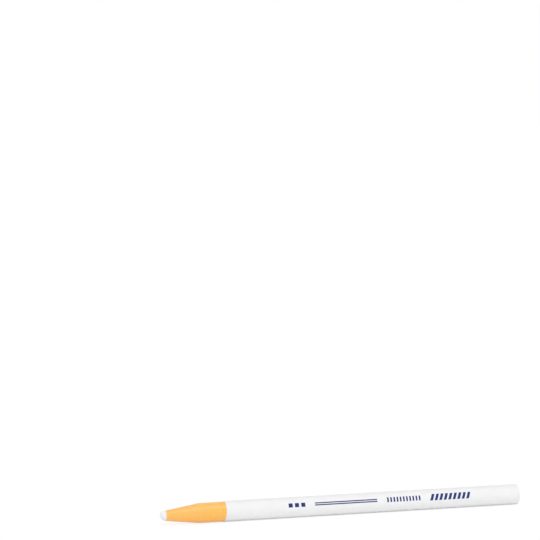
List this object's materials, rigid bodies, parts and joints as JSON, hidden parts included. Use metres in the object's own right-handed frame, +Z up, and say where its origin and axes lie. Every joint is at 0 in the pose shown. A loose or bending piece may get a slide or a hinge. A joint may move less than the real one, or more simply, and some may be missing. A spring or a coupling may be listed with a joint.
{
  "type": "china marker",
  "caption": "Peel-off china marker: a wax core in a paper wrapper with a tear string, peel turns at the tapered tip and a printed paper sleeve.",
  "frame": {"origin": "on the surface that the marker lies on, under the middle of its length", "axes": "+X along the marker from the writing tip to the cut rear end, +Z up"},
  "size_m": [0.178, 0.0094, 0.0095],
  "materials": {
    "wax": "smooth white wax",
    "thread": "twisted cotton",
    "kraft_paper": "dyed, unglazed",
    "label_paper": "coated, semi-gloss"
  },
  "bodies": {
    "barrel": {"wax_core": "wax", "paper_wrap": "kraft_paper", "label": "label_paper"},
    "tear_string": {"tear_string": "thread"},
    "peel_turn_1": {"peel_turn_1": "kraft_paper"},
    "peel_turn_2": {"peel_turn_2": "kraft_paper"},
    "peel_turn_3": {"peel_turn_3": "kraft_paper"}
  },
  "joints": [
    {"name": "string_draw", "type": "slide", "parent": "barrel", "child": "tear_string", "axis": [-1, 0, 0], "range_m": [0, 0.0127]},
    {"name": "peel_3", "type": "slide", "parent": "barrel", "child": "peel_turn_3", "axis": [-1, 0, 0], "range_m": [0, 0.0303]},
    {"name": "peel_2", "type": "slide", "parent": "peel_turn_3", "child": "peel_turn_2", "axis": [-1, 0, 0], "range_m": [0, 0.0272]},
    {"name": "peel_1", "type": "slide", "parent": "peel_turn_2", "child": "peel_turn_1", "axis": [-1, 0, 0], "range_m": [0, 0.0241]}
  ]
}
